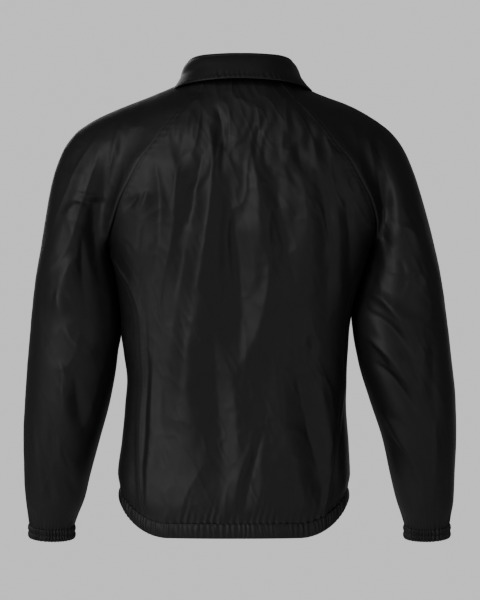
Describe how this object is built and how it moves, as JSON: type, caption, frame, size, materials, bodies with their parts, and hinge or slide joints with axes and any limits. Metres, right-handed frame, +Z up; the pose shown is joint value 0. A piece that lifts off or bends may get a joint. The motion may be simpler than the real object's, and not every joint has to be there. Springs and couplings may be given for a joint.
{
  "type": "coach jacket",
  "caption": "Black nylon coach jacket with raglan sleeves, a fold-over collar, a snap front, elastic cuffs and a drawn-in hem, in its worn shape with no wearer.",
  "frame": {"origin": "in the middle of the wearer's neck, level with the back neck seam", "axes": "+Z up, -Y towards the front that the snaps close, +X towards the wearer's left"},
  "size_m": [0.7139, 0.2838, 0.8001],
  "materials": {
    "shell": "tightly woven coated nylon with a soft sheen",
    "snap": "black snap caps"
  },
  "bodies": {
    "root": {"back": "shell", "front_left": "shell", "front_right": "shell", "sleeve_left": "shell", "sleeve_right": "shell", "collar": "shell", "cuff_left": "shell", "cuff_right": "shell", "hem_back": "shell", "hem_front_left": "shell", "hem_front_right": "shell", "snap_1": "snap", "snap_2": "snap", "snap_3": "snap", "snap_4": "snap", "snap_5": "snap", "snap_6": "snap"}
  },
  "joints": []
}
